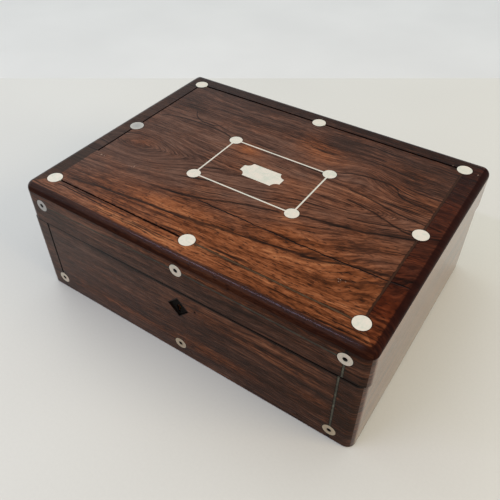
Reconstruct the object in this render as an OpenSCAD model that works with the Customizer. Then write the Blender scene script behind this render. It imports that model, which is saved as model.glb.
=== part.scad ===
/* [Box] */
// Length of the box along the keyhole side
box_w = 300; // [280:5:360]
// Depth of the box from the keyhole side to the hinge side
box_d = 225; // [220:5:260]
// Height of the closed box
box_h = 110; // [108:1:120]
// Height at which the lid parts from the base
joint_z = 75; // [75:0.5:78]
// Thickness of the carcass boards
board_t = 8.5; // [7.5:0.5:9]
// Thickness of the rosewood veneer
veneer_t = 1.0; // [0.8:0.1:1.2]
// Rounding of the four upright corners and of the top edges
corner_r = 7; // [5:0.5:8]
// How far the lid has crept to the right on its worn hinges
creep = 1.2; // [0:0.1:2]

/* [Inlay] */
// Distance from the edge to the border line and the disc centres
line_inset = 17.8; // [16:0.2:20]
// Width of the inlaid lines
line_w = 1.3; // [0.8:0.1:1.6]
// Radius of the pearl discs on the border
disc_r = 6; // [4:0.25:7]
// Half length of the inner rectangle
inner_a = 45.2; // [35:0.2:60]
// Half width of the inner rectangle
inner_b = 29.4; // [22:0.2:40]
// Radius of the pearl discs on the inner rectangle
small_disc_r = 5.6; // [4:0.2:6]
// Length of the pearl name plate
plate_w = 37; // [28:1:50]
// Width of the pearl name plate
plate_d = 18; // [14:1:24]
// Radius of the scooped corners of the name plate
scoop_r = 5.4; // [3:0.2:6]
// Outer radius of the pearl rings on the front
ring_r = 5.2; // [3.6:0.2:5.6]
// Radius of the hole in the rings
ring_hole_r = 1.6; // [1:0.2:2.4]
// Width of the groove at the back of the lid, where the line is lost
back_groove_w = 2.1; // [1.5:0.1:2.6]
// Where the empty groove on the left of the lid stops
groove_stop_y = -48; // [-80:1:0]
// Height of the rings on the base
base_ring_z = 12.2; // [10:0.2:16]
// Height of the rings on the lid
lid_ring_z = 94.5; // [92.5:0.5:95.5]
// Half diagonal of the lozenge let in round the keyhole
lozenge = 9.3; // [8:0.1:10]

/* [Lid hinges and lock] */
// Radius of the lid hinge knuckles
knuckle_r = 2.0; // [1.8:0.1:2.2]
// Length of each lid hinge
hinge_len = 38; // [30:1:45]
// Distance of each lid hinge from the middle
hinge_x = 95; // [80:1:110]
// Slope of the stop chamfers beside the lid hinge line
stop_angle = 50; // [48:0.5:54]
// Height of the key pin above the floor
key_z = 57; // [55:0.5:58]
// Sideways place of the keyhole
key_x = 2.0; // [-2:0.1:3]

/* [Writing board and its prop] */
// Thickness of the writing board
flap_t = 8; // [7:0.5:8]
// Lift of the writing board when it is propped
flap_angle = 17; // [12:0.5:18]
// Slope of the prop above the floor when it stands
prop_angle = 50; // [47:0.5:53]
// Distance of the prop pivot from the board hinge
prop_reach = 130; // [120:1:134]
// Half width of the prop frame
prop_half = 32; // [24:1:45]

/* [Fittings] */
// Depth of the strip at the back for the pen tray and inkwells
tray_d = 41; // [40:0.5:42]
// Side of the square ink bottles
bottle_w = 37; // [34:0.5:37]
// Radius of the bottle neck
neck_r = 11; // [9:0.5:11]

/* [Hidden] */
$fn = 96;
gap = 0.3;
edge_r = corner_r;
hw = box_w / 2;
hd = box_d / 2;
base_x = -creep / 2;
lid_x = creep / 2;
wall = board_t + veneer_t;
baize_t = 0.8;
floor_t = 8;
floor_z = baize_t + floor_t;
rim_z = joint_z - gap / 2;
lid_z = joint_z + gap / 2;
edge_z = box_h - edge_r;
lid_panel_t = 4;
ceil_z = edge_z - lid_panel_t;
panel_z = box_h - veneer_t;
in_x = hw - wall;
in_y = hd - wall;
line_x = hw - line_inset;
line_y = hd - line_inset;
axis_y = hd - knuckle_r;
pin_r = 0.9;
run = 0.07;
plate_t = 1.2;
leaf_t = 1.4;
rail_d = 12.1;
flap_y = -in_y + rail_d + 0.3;
flap_z = rim_z - 1.85;
part_t = 5;
part_y = in_y - tray_d - part_t;
flap_back = part_y - 0.6;
pivot_z = flap_z - flap_t - 3.5;
pivot_y = flap_y + prop_reach;
arm = norm([prop_reach, flap_z - pivot_z]);
arm_a = atan2(pivot_z - flap_z, prop_reach);
top_y = flap_y + arm * cos(arm_a + flap_angle);
top_z = flap_z + arm * sin(arm_a + flap_angle);
foot_r = 2.0;
foot_z = floor_z + 6.3;
prop_len = (top_z - foot_z) / sin(prop_angle);
foot_y = top_y - prop_len * cos(prop_angle);
well_x = in_x - 19.75;
well_y = in_y - 21.5;
neck_z = floor_z + 41;
cap_axis_y = well_y + neck_r + 4.2;
cap_axis_z = neck_z + 7.2;
lock_y = -in_y - 3.25;
staple_x = [-11, 11];
mitre_reach = 60;
head_r = 2.1;
head_h = 1.2;
screw_r = 1.0;
screw_len = 7;
slot_w = 0.5;
screw_pitch = 13;
screw_y = hd - wall + 3.4;
leaf_y = hd - wall + 0.4;
knuckle_gap = 0.2;
keyhole_r = 2.2;
keyhole_drop = 5.5;
key_pin_r = 1.2;
lock_half = 24;
lock_depth = 6.5;
lock_low = 46;
lock_wall = 1.2;
lock_plate_half = 30;
bolt_z = 60;
bolt_bar = 3.5;
bolt_hooks = [-21, 1];
hook_z = 67.8;
hook_top = 70.6;
link_half = 22;
staple_w = 2.4;
ledge = 6;
divider_t = 4;
divider_h = 57.2;
divider_x = in_x - 41.5;
tray_half = in_x - 43.9;
tray_z = floor_z + 42.3;
tray_h = 17;
troughs = [[12, 9.5, 61.5], [30.5, 8.5, 60.5]];
trough_end = 16;
neck_wall = 2.5;
cap_t = 2;
cap_knuckle_r = 1.8;
cap_pin_r = 0.8;
flap_hinge_x = 80;
flap_leaf_w = 25;
flap_leaf_d = 9;
flap_knuckle_r = 1.5;
flap_middle = 4.4;
flap_pin_r = 0.7;
leather_margin = 12;
leather_t = 0.8;
pivot_r = 1.5;
prop_t = 3.2;
prop_bar = 8;
notch_pitch = 9;
plate_at = [0.7, -1.0];
lining_t = 1.2;
base_rings = [[-line_x, base_ring_z], [-0.3, base_ring_z + 0.9], [line_x - 0.6, base_ring_z - 1.6]];
lid_rings = [[-line_x - 1.3, lid_ring_z - 1.7], [2.5, lid_ring_z + 1.7], [line_x, lid_ring_z - 0.3]];
pin_hole = [key_x + 16, 61.6];
joint_wear = 0.8;

module rounded(w, d, r) {
  union() {
    square([w - 2 * r, d], center = true);
    square([w, d - 2 * r], center = true);
    for (x = [-1, 1], y = [-1, 1])
      translate([x * (w / 2 - r), y * (d / 2 - r)])
        circle(r);
  }
}

// One side's share of a mitred frame
module side(name) {
  r = mitre_reach;
  front = [[-hw - 2, -hd - 2], [hw + 2, -hd - 2], [hw - r, -hd + r], [-hw + r, -hd + r]];
  left = [[-hw - 2, -hd - 2], [-hw + r, -hd + r], [-hw + r, hd - r], [-hw - 2, hd + 2]];
  if (name == "front")
    polygon(front);
  if (name == "back")
    mirror([0, 1])
      polygon(front);
  if (name == "left")
    polygon(left);
  if (name == "right")
    mirror([1, 0])
      polygon(left);
}

module carcass(name, z0, z1) {
  translate([0, 0, z0])
    linear_extrude(z1 - z0)
      intersection() {
        difference() {
          rounded(box_w - 2 * veneer_t, box_d - 2 * veneer_t, corner_r - veneer_t);
          square([2 * in_x, 2 * in_y], center = true);
        }
        side(name);
      }
}

module skin(name, z0, z1) {
  translate([0, 0, z0])
    linear_extrude(z1 - z0)
      intersection() {
        difference() {
          rounded(box_w, box_d, corner_r);
          rounded(box_w - 2 * veneer_t, box_d - 2 * veneer_t, corner_r - veneer_t);
        }
        side(name);
      }
}

// Wedges cut off beside the lid hinge line, so that the lid stops when they meet
module stop_cut() {
  rise = gap / 2 + (knuckle_r + 1) * tan(stop_angle);
  for (s = [-1, 1])
    translate([-hw - 5, 0, joint_z])
      rotate([90, 0, 90])
        linear_extrude(box_w + 10)
          polygon([[axis_y, 0], [axis_y, s * gap / 2], [hd + 1, s * rise], [hd + 1, 0]]);
}

module knuckle_relief() {
  for (x = [-hinge_x, hinge_x])
    translate([x - hinge_len / 2 - gap, axis_y, joint_z])
      rotate([0, 90, 0])
        cylinder(h = hinge_len + 2 * gap, r = knuckle_r + 0.3);
}

// Countersunk wood screw with its head at z = 0, or the hole for it
module screw(slot) {
  difference() {
    union() {
      translate([0, 0, -head_h])
        cylinder(h = head_h, r1 = screw_r, r2 = head_r);
      translate([0, 0, -screw_len])
        cylinder(h = screw_len - 1, r = screw_r);
    }
    if (slot)
      translate([-head_r - 1, -slot_w / 2, -slot_w])
        cube([2 * head_r + 2, slot_w, 2 * slot_w]);
  }
}

module hinge_screws(up, slot) {
  for (x = [-hinge_x, hinge_x], k = [-screw_pitch, 0, screw_pitch])
    translate([x + k, screw_y, up > 0 ? rim_z : lid_z])
      mirror([0, 0, up > 0 ? 0 : 1])
        screw(slot);
}

// A lid hinge leaf: up is 1 for the base leaf, -1 for the lid leaf
module lid_leaf(x, up) {
  h = hinge_len / 2;
  seg = hinge_len / 5;
  k = knuckle_gap;
  z0 = up > 0 ? rim_z - leaf_t : lid_z;
  outer = [[-h, -h + seg - k], [-h + 2 * seg + k, -h + 3 * seg - k], [h - seg + k, h]];
  between = [[-h + seg + k, -h + 2 * seg - k], [-h + 3 * seg + k, h - seg - k]];
  room_between = [[-h + seg - k, -h + 2 * seg + k], [-h + 3 * seg - k, h - seg + k]];
  room_outer = [[-h - 1, -h + seg + k], [-h + 2 * seg - k, -h + 3 * seg + k], [h - seg - k, h + 1]];
  difference() {
    union() {
      translate([x - h, leaf_y, z0])
        cube([hinge_len, axis_y - leaf_y, leaf_t]);
      for (part = up > 0 ? outer : between)
        translate([x + part[0], axis_y, joint_z])
          rotate([0, 90, 0])
            cylinder(h = part[1] - part[0], r = knuckle_r);
    }
    for (part = up > 0 ? room_between : room_outer)
      translate([x + part[0], axis_y, joint_z])
        rotate([0, 90, 0])
          cylinder(h = part[1] - part[0], r = knuckle_r + 0.25);
    translate([x - h - 1, axis_y, joint_z])
      rotate([0, 90, 0])
        cylinder(h = hinge_len + 2, r = up > 0 ? pin_r : pin_r + run);
    hinge_screws(up, false);
  }
}

module leaf_seats(up) {
  z0 = up > 0 ? rim_z - leaf_t : lid_z - 1;
  for (x = [-hinge_x, hinge_x])
    translate([x - hinge_len / 2, leaf_y, z0])
      cube([hinge_len, wall - knuckle_r, leaf_t + 1]);
}

// The keyhole and the lock's room in the front board
module keyhole(y0, y1) {
  translate([key_x, y1, key_z])
    rotate([90, 0, 0]) {
      cylinder(h = y1 - y0, r = keyhole_r);
      translate([-keyhole_r / 2, -keyhole_drop, 0])
        cube([keyhole_r, keyhole_drop, y1 - y0]);
    }
}

module base_place() {
  translate([base_x, 0, 0])
    children();
}

module lid_place() {
  translate([lid_x, 0, 0])
    children();
}

module base_front_board() {
  color([0.45, 0.27, 0.15])
    base_place()
      difference() {
        carcass("front", baize_t, rim_z);
        translate([-lock_half, -in_y - lock_depth, lock_low])
          cube([2 * lock_half, lock_depth + 4, rim_z - lock_low + 1]);
        translate([-lock_plate_half, -in_y - lock_depth, rim_z - plate_t])
          cube([2 * lock_plate_half, lock_depth + 4, plate_t + 1]);
        keyhole(-hd - 1, -in_y);
        lock_screws(false);
        translate([pin_hole[0], -hd + 4, pin_hole[1]])
          rotate([90, 0, 0])
            cylinder(h = 5, r = 0.5);
      }
}

module base_back_board() {
  color([0.45, 0.27, 0.15])
    base_place()
      difference() {
        carcass("back", baize_t, rim_z);
        stop_cut();
        knuckle_relief();
        leaf_seats(1);
        hinge_screws(1, false);
      }
}

module base_left_board() {
  color([0.45, 0.27, 0.15])
    base_place()
      difference() {
        carcass("left", baize_t, rim_z);
        stop_cut();
      }
}

module base_right_board() {
  color([0.45, 0.27, 0.15])
    base_place()
      difference() {
        carcass("right", baize_t, rim_z);
        stop_cut();
      }
}

module base_bottom_board() {
  color([0.55, 0.38, 0.22])
    base_place()
      translate([-in_x, -in_y, baize_t])
        cube([2 * in_x, 2 * in_y, floor_t]);
}

module base_baize() {
  color([0.16, 0.22, 0.14])
    base_place()
      linear_extrude(baize_t)
        rounded(box_w - 5, box_d - 5, corner_r - 2);
}

// Seats of the inlaid rings on the front face, at places given as x and z
module ring_seats(places, r) {
  for (p = places)
    translate([p[0], -hd + veneer_t, p[1]])
      rotate([90, 0, 0])
        cylinder(h = veneer_t + 1, r = r);
}

// Straight line on the front face from a to b, each given as x and z
module front_line(a, b, extra) {
  translate([a[0], -hd - extra, a[1]])
    rotate([0, -atan2(b[1] - a[1], b[0] - a[0]), 0])
      translate([0, 0, -line_w / 2])
        cube([norm(b - a), veneer_t + extra, line_w]);
}

// Uprights on the base, from the outer rings up to the lid; i is 0 for the left and 2 for the right
module base_upright(i, extra) {
  front_line(base_rings[i], [base_rings[i][0], rim_z + extra], extra);
}

module base_front_veneer() {
  color([0.36, 0.17, 0.10])
    base_place()
      difference() {
        skin("front", baize_t + 0.2, rim_z);
        base_upright(0, 1);
        base_upright(2, 1);
        ring_seats(base_rings, ring_r);
        translate([pin_hole[0], -hd + veneer_t + 1, pin_hole[1]])
          rotate([90, 0, 0])
            cylinder(h = veneer_t + 2, r = 0.7);
        translate([key_x, -hd + veneer_t + 0.5, key_z])
          rotate([90, 45, 0])
            translate([-lozenge / sqrt(2), -lozenge / sqrt(2), 0])
              cube([lozenge * sqrt(2), lozenge * sqrt(2), veneer_t + 2]);
      }
}

module base_back_veneer() {
  color([0.36, 0.17, 0.10])
    base_place()
      difference() {
        skin("back", baize_t + 0.2, rim_z);
        stop_cut();
        knuckle_relief();
      }
}

module base_left_veneer() {
  color([0.36, 0.17, 0.10])
    base_place()
      difference() {
        skin("left", baize_t + 0.2, rim_z);
        stop_cut();
      }
}

module base_right_veneer() {
  color([0.36, 0.17, 0.10])
    base_place()
      difference() {
        skin("right", baize_t + 0.2, rim_z);
        stop_cut();
      }
}

module base_front_lines() {
  color([0.50, 0.49, 0.42])
    base_place()
      difference() {
        base_upright(2, 0);
        ring_seats(base_rings, ring_r);
      }
}

module front_rings(places) {
  for (p = places)
    translate([p[0], -hd + veneer_t, p[1]])
      rotate([90, 0, 0])
        difference() {
          cylinder(h = veneer_t, r = ring_r);
          translate([0, 0, -1])
            cylinder(h = veneer_t + 2, r = ring_hole_r);
        }
}

module base_front_rings() {
  color([0.86, 0.84, 0.74])
    base_place()
      front_rings(base_rings);
}

module lock_screws(slot) {
  for (x = [3 - lock_plate_half, lock_plate_half - 3])
    translate([x, lock_y, rim_z])
      screw(slot);
}

module lock_case() {
  hollow = lock_half - lock_wall;
  color([0.66, 0.55, 0.28])
    base_place() {
      difference() {
        translate([-lock_half, -in_y - lock_depth, lock_low])
          cube([2 * lock_half, lock_depth, rim_z - plate_t - lock_low]);
        translate([-hollow, -in_y - lock_depth + lock_wall, lock_low + lock_wall])
          cube([2 * hollow, lock_depth - 2 * lock_wall, rim_z]);
        keyhole(-in_y - 8, -in_y - 4);
      }
      translate([key_x, -in_y - lock_wall / 2, key_z])
        rotate([90, 0, 0])
          cylinder(h = lock_depth - lock_wall + 0.1, r = key_pin_r);
      for (x = [-hollow, hollow - 14.8])
        translate([x, -in_y - 5.4, bolt_z - 1.3])
          cube([14.8, 4.4, 1]);
    }
}

module lock_plate() {
  color([0.74, 0.60, 0.28])
    base_place()
      difference() {
        translate([-lock_plate_half, -in_y - lock_depth, rim_z - plate_t])
          cube([2 * lock_plate_half, lock_depth, plate_t]);
        for (x = staple_x)
          translate([x - staple_w / 2 - 0.5, -in_y - 5.6, rim_z - 3])
            cube([staple_w + 1, 4.7, 6]);
        lock_screws(false);
      }
}

// Sliding plate with two hooks that catch the staples, and an eye for the key
module lock_bolt() {
  color([0.62, 0.58, 0.48])
    base_place()
      translate([0, lock_y + 0.6, 0])
        rotate([90, 0, 0])
          linear_extrude(1.2)
            difference() {
              union() {
                translate([bolt_hooks[0], bolt_z])
                  square([35, bolt_bar]);
                for (x = bolt_hooks) {
                  translate([x, bolt_z])
                    square([3, hook_top - bolt_z]);
                  translate([x, hook_z])
                    square([7.8, hook_top - hook_z]);
                }
              }
              translate([key_x - keyhole_r, key_z + 1.4])
                circle(3.4);
            }
}

module base_screws() {
  color([0.78, 0.64, 0.32])
    base_place() {
      hinge_screws(1, true);
      lock_screws(true);
    }
}

module base_hinge_leaves() {
  color([0.78, 0.64, 0.32])
    base_place()
      for (x = [-hinge_x, hinge_x])
        lid_leaf(x, 1);
}

module lid_hinge_pins() {
  color([0.70, 0.58, 0.30])
    base_place()
      for (x = [-hinge_x, hinge_x])
        translate([x - hinge_len / 2, axis_y, joint_z])
          rotate([0, 90, 0])
            cylinder(h = hinge_len, r = pin_r);
}

// Fixed rail along the front that carries the board hinges
module front_rail() {
  color([0.40, 0.20, 0.12])
    base_place()
      difference() {
        translate([-in_x, -in_y, flap_z - 15])
          cube([2 * in_x, rail_d, 15]);
        flap_relief();
        flap_leaf_seat(-1);
      }
}

module board_ledges() {
  color([0.45, 0.27, 0.15])
    base_place()
      for (s = [-1, 1])
        translate([s * (in_x - ledge / 2), (-in_y + rail_d + part_y) / 2, flap_z - flap_t - gap - ledge / 2])
          cube([ledge, part_y + in_y - rail_d, ledge], center = true);
}

module long_partition() {
  color([0.42, 0.22, 0.13])
    base_place()
      difference() {
        translate([-in_x, part_y, floor_z])
          cube([2 * in_x, part_t, flap_z - floor_z]);
        translate([0, part_y - 1, flap_z])
          rotate([-90, 0, 0])
            cylinder(h = 3.4, r = 10);
      }
}

// Short dividers, each with a ledge that the pen tray sits on
module short_partitions() {
  color([0.42, 0.22, 0.13])
    base_place()
      for (s = [-1, 1])
        translate([s * divider_x, 0, 0]) {
          translate([-divider_t / 2, in_y - tray_d, floor_z])
            cube([divider_t, tray_d, divider_h]);
          translate([s > 0 ? -6 : divider_t / 2, in_y - tray_d, tray_z - 10.3])
            cube([4, tray_d, 10]);
        }
}

module pen_tray() {
  end = tray_half - trough_end;
  color([0.40, 0.20, 0.12])
    base_place()
      difference() {
        translate([-tray_half, in_y - tray_d + 0.4, tray_z])
          cube([2 * tray_half, tray_d - 0.8, tray_h]);
        for (k = troughs)
          translate([0, in_y - tray_d + k[0], floor_z + k[2]]) {
            translate([-end, 0, 0])
              rotate([0, 90, 0])
                cylinder(h = 2 * end, r = k[1]);
            for (x = [-end, end])
              translate([x, 0, 0])
                rotate([90, 0, 0])
                  sphere(k[1]);
          }
      }
}

module inkwell_bottles() {
  color([0.75, 0.86, 0.84, 0.5])
    base_place()
      for (s = [-1, 1])
        translate([s * well_x, well_y, 0])
          difference() {
            union() {
              translate([0, 0, floor_z])
                linear_extrude(neck_z - floor_z - 4)
                  rounded(bottle_w, bottle_w, 4);
              translate([0, 0, neck_z - 5])
                cylinder(h = 5, r1 = neck_r + 4, r2 = neck_r);
              translate([0, 0, neck_z - 1])
                cylinder(h = 5, r = neck_r);
            }
            translate([0, 0, floor_z + 5])
              cylinder(h = neck_z - floor_z - 12, r = 14);
            translate([0, 0, neck_z - 7.5])
              cylinder(h = 20, r = neck_r - neck_wall);
          }
}

module inkwell_collars() {
  color([0.78, 0.64, 0.32])
    base_place()
      for (s = [-1, 1])
        translate([s * well_x, well_y, 0])
          difference() {
            union() {
              translate([0, 0, neck_z + 0.2])
                cylinder(h = 5.8, r = neck_r + 2.4);
              for (x = [-6.5, 2.7])
                translate([x, cap_axis_y - well_y, cap_axis_z])
                  rotate([0, 90, 0])
                    cylinder(h = 3.8, r = cap_knuckle_r);
              for (x = [-6.5, 2.7])
                translate([x, neck_r - 1, neck_z + 2])
                  cube([3.8, 5, 4]);
              translate([-6, cap_axis_y - well_y, cap_axis_z])
                rotate([0, 90, 0])
                  cylinder(h = 12, r = cap_pin_r);
            }
            cylinder(h = neck_z + 4.2, r = neck_r + 0.02);
            cylinder(h = 200, r = neck_r - 2);
          }
}

module cap(s) {
  color([0.80, 0.66, 0.34])
    base_place()
      translate([s * well_x, well_y, 0])
        difference() {
          union() {
            translate([0, 0, neck_z + 6.3])
              cylinder(h = cap_t, r = neck_r + 2.6);
            translate([0, 0, neck_z + 6.2 + cap_t])
              cylinder(h = 1.2, r1 = neck_r + 1.2, r2 = neck_r - 1);
            translate([0, 0, neck_z + 7.3 + cap_t])
              cylinder(h = 0.9, r = neck_r - 5);
            translate([-2.2, neck_r, neck_z + 6.3])
              cube([4.4, 4, 1.6]);
            translate([-2.2, cap_axis_y - well_y, cap_axis_z])
              rotate([0, 90, 0])
                cylinder(h = 4.4, r = cap_knuckle_r);
          }
          translate([-9, cap_axis_y - well_y, cap_axis_z])
            rotate([0, 90, 0])
              cylinder(h = 18, r = cap_pin_r + run);
          for (x = [-8, 2.4])
            translate([x, neck_r + 1.6, neck_z])
              cube([5.6, 6, 20]);
        }
}

module inkwell_cap_left() {
  cap(-1);
}

module inkwell_cap_right() {
  cap(1);
}

module flap_relief() {
  for (x = [-flap_hinge_x, flap_hinge_x])
    translate([x - flap_leaf_w / 2 - 0.5, flap_y, flap_z])
      rotate([0, 90, 0])
        cylinder(h = flap_leaf_w + 1, r = flap_knuckle_r + 0.4);
}

module flap_leaf_seat(s) {
  for (x = [-flap_hinge_x, flap_hinge_x])
    translate([x - flap_leaf_w / 2, s < 0 ? flap_y - flap_leaf_d : flap_y - 1, flap_z - 1])
      cube([flap_leaf_w, flap_leaf_d + 1, 3]);
}

// Leaves of the board hinges: s is -1 for those on the rail and 1 for those on the board
module flap_leaves(s) {
  h = flap_leaf_w / 2;
  m = flap_middle;
  segs = s < 0 ? [[-h, -m], [m, h]] : [[0.3 - m, m - 0.3]];
  other = s < 0 ? [[-m, m]] : [[-h - 0.5, 0.3 - m], [m - 0.3, h + 0.5]];
  for (x = [-flap_hinge_x, flap_hinge_x])
    difference() {
      union() {
        translate([x - h, s < 0 ? flap_y - flap_leaf_d : flap_y, flap_z - 1])
          cube([flap_leaf_w, flap_leaf_d, 1]);
        for (k = segs)
          translate([x + k[0], flap_y, flap_z])
            rotate([0, 90, 0])
              cylinder(h = k[1] - k[0], r = flap_knuckle_r);
      }
      for (k = other)
        translate([x + k[0], flap_y, flap_z])
          rotate([0, 90, 0])
            cylinder(h = k[1] - k[0], r = flap_knuckle_r + 0.25);
      if (s > 0)
        translate([x - h - 0.5, flap_y, flap_z])
          rotate([0, 90, 0])
            cylinder(h = flap_leaf_w + 1, r = flap_pin_r + run);
    }
  if (s < 0)
    for (x = [-flap_hinge_x, flap_hinge_x])
      translate([x - h + 0.5, flap_y, flap_z])
        rotate([0, 90, 0])
          cylinder(h = flap_leaf_w - 1, r = flap_pin_r);
}

module board_hinge_fixed() {
  color([0.78, 0.64, 0.32])
    base_place()
      flap_leaves(-1);
}

module board_hinge_moving() {
  color([0.78, 0.64, 0.32])
    base_place()
      flap_leaves(1);
}

module writing_board() {
  color([0.38, 0.18, 0.11])
    base_place()
      difference() {
        translate([-in_x + 0.5, flap_y + 0.15, flap_z - flap_t])
          cube([2 * in_x - 1, flap_back - flap_y - 0.15, flap_t]);
        flap_relief();
        flap_leaf_seat(1);
        leather_sheet(1);
      }
}

module leather_sheet(extra) {
  m = leather_margin;
  translate([-in_x + m, flap_y + m + 1, flap_z - leather_t])
    cube([2 * (in_x - m), flap_back - flap_y - 2 * m, leather_t + extra]);
}

module board_leather() {
  color([0.20, 0.10, 0.12])
    base_place()
      leather_sheet(0);
}

module prop_bracket() {
  color([0.74, 0.60, 0.28])
    base_place()
      for (s = [-1, 1])
        translate([s * (prop_half + 3.5), pivot_y, 0])
          difference() {
            union() {
              translate([-1.1, -3.5, pivot_z - 3])
                cube([2.2, 7, 6.5]);
              translate([s > 0 ? -1.1 : -8.9, -7, flap_z - flap_t - 1.2])
                cube([10, 14, 1.2]);
            }
            translate([-5, 0, pivot_z])
              rotate([0, 90, 0])
                cylinder(h = 10, r = pivot_r + run);
          }
}

module prop_frame() {
  color([0.42, 0.22, 0.13])
    base_place()
      translate([0, pivot_y, pivot_z]) {
        translate([0, 0, -prop_t / 2])
          linear_extrude(prop_t)
            difference() {
              translate([-prop_half, -prop_len])
                square([2 * prop_half, prop_len + 3]);
              translate([prop_bar - prop_half, prop_bar + 1 - prop_len])
                square([2 * (prop_half - prop_bar), prop_len - 2 * (prop_bar + 1)]);
            }
        translate([-prop_half - 5, 0, 0])
          rotate([0, 90, 0])
            cylinder(h = 2 * prop_half + 10, r = pivot_r);
        translate([-prop_half, -prop_len, 0])
          rotate([0, 90, 0])
            cylinder(h = 2 * prop_half, r = foot_r);
      }
}

// Strip on the floor with a groove for each height of the board
module ratchet_strip() {
  color([0.45, 0.27, 0.15])
    base_place()
      difference() {
        translate([-20, foot_y - 26, floor_z])
          cube([40, 34, 4.7]);
        for (k = [0, 1, 2])
          translate([-21, foot_y - notch_pitch * k, foot_z])
            rotate([0, 90, 0])
              cylinder(h = 42, r = foot_r + 0.35);
      }
}

module lid_front_board() {
  color([0.45, 0.27, 0.15])
    difference() {
      lid_place()
        carcass("front", lid_z, ceil_z);
      link_block();
      link_screws(false);
    }
}

module lid_back_board() {
  color([0.45, 0.27, 0.15])
    difference() {
      lid_place()
        carcass("back", lid_z, ceil_z);
      base_place() {
        stop_cut();
        knuckle_relief();
        leaf_seats(-1);
        hinge_screws(-1, false);
      }
    }
}

module lid_left_board() {
  color([0.45, 0.27, 0.15])
    lid_place()
      difference() {
        carcass("left", lid_z, ceil_z);
        stop_cut();
      }
}

module lid_right_board() {
  color([0.45, 0.27, 0.15])
    lid_place()
      difference() {
        carcass("right", lid_z, ceil_z);
        stop_cut();
      }
}

// Top board, rebated all round for the solid edge strips
module lid_top_board() {
  color([0.45, 0.27, 0.15])
    lid_place()
      union() {
        translate([0, 0, ceil_z])
          linear_extrude(lid_panel_t)
            rounded(box_w - 2 * veneer_t, box_d - 2 * veneer_t, corner_r - veneer_t);
        translate([-line_x - line_w / 2, -line_y - line_w / 2, edge_z])
          cube([2 * line_x + line_w, 2 * line_y + line_w, panel_z - edge_z]);
      }
}

// Lines between the rings, and the upright under the right ring
module lid_front_lines_shape(extra) {
  front_line(lid_rings[0], lid_rings[1], extra);
  front_line(lid_rings[1], lid_rings[2], extra);
  front_line([lid_rings[2][0], lid_z - extra], lid_rings[2], extra);
}

// Worn lower arris of the lid's front, widest near the right corner
module lid_front_wear() {
  low = [[hw - 1, 0], [hw - 1, -1], [-80, -1], [-80, 0]];
  translate([0, -hd + veneer_t, lid_z])
    rotate([90, 0, 0])
      linear_extrude(veneer_t + 1)
        polygon(concat(low, [[90, joint_wear * 0.7], [hw - 14, joint_wear]]));
}

module lid_front_veneer() {
  color([0.36, 0.17, 0.10])
    lid_place()
      difference() {
        skin("front", lid_z, edge_z);
        lid_front_lines_shape(1);
        ring_seats(lid_rings, ring_r);
        lid_front_wear();
      }
}

module lid_back_veneer() {
  color([0.36, 0.17, 0.10])
    difference() {
      lid_place()
        skin("back", lid_z, edge_z);
      base_place() {
        stop_cut();
        knuckle_relief();
      }
    }
}

module lid_left_veneer() {
  color([0.36, 0.17, 0.10])
    lid_place()
      difference() {
        skin("left", lid_z, edge_z);
        stop_cut();
      }
}

module lid_right_veneer() {
  color([0.36, 0.17, 0.10])
    lid_place()
      difference() {
        skin("right", lid_z, edge_z);
        stop_cut();
      }
}

// Half of the ball corner at the right end of an edge strip
module ball_corner() {
  intersection() {
    rotate([0, 0, -45])
      rotate([0, 145, 0])
        rotate([90, 0, 0])
          sphere(edge_r);
    linear_extrude(edge_r + 1)
      polygon([[0, 0], [0, -2 * edge_r], [2 * edge_r, -2 * edge_r]]);
  }
}

// A solid rosewood strip with a rounded outer edge and mitred ends
module edge_strip(len_half, out) {
  inner = line_inset - line_w / 2;
  a = len_half - inner;
  b = len_half - corner_r;
  translate([0, 0, edge_z]) {
    linear_extrude(edge_r)
      polygon([[-a, inner - out], [a, inner - out], [b, corner_r - out], [-b, corner_r - out]]);
    translate([-b, corner_r - out, 0])
      rotate([90, 0, 90])
        linear_extrude(2 * b)
          intersection() {
            circle(edge_r);
            translate([-edge_r, 0])
              square(edge_r);
          }
    for (s = [0, 1])
      mirror([s, 0, 0])
        translate([b, corner_r - out, 0])
          ball_corner();
  }
}

module disc_set(r, h) {
  for (x = [-1, 0, 1], y = [-1, 0, 1])
    if (abs(x) + abs(y) > 0)
      translate([x * line_x, y * line_y, panel_z])
        cylinder(h = h, r = r);
}

module lid_edge_front() {
  color([0.30, 0.13, 0.08])
    lid_place()
      difference() {
        edge_strip(hw, hd);
        disc_set(disc_r, 5);
      }
}

module lid_edge_back() {
  color([0.30, 0.13, 0.08])
    lid_place()
      difference() {
        rotate([0, 0, 180])
          edge_strip(hw, hd);
        disc_set(disc_r, 5);
      }
}

module lid_edge_left() {
  color([0.30, 0.13, 0.08])
    lid_place()
      difference() {
        rotate([0, 0, -90])
          edge_strip(hd, hw);
        disc_set(disc_r, 5);
      }
}

module lid_edge_right() {
  color([0.30, 0.13, 0.08])
    lid_place()
      difference() {
        rotate([0, 0, 90])
          edge_strip(hd, hw);
        disc_set(disc_r, 5);
      }
}

module name_plate_shape() {
  translate(plate_at)
    difference() {
      square([plate_w, plate_d], center = true);
      for (x = [-1, 1], y = [-1, 1])
        translate([x * plate_w / 2, y * plate_d / 2])
          circle(scoop_r);
    }
}

module inner_frame() {
  difference() {
    square([2 * inner_a + line_w, 2 * inner_b + line_w], center = true);
    square([2 * inner_a - line_w, 2 * inner_b - line_w], center = true);
  }
}

module inner_discs() {
  for (x = [-1, 1], y = [-1, 1])
    translate([x * inner_a, y * inner_b])
      circle(small_disc_r);
}

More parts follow.
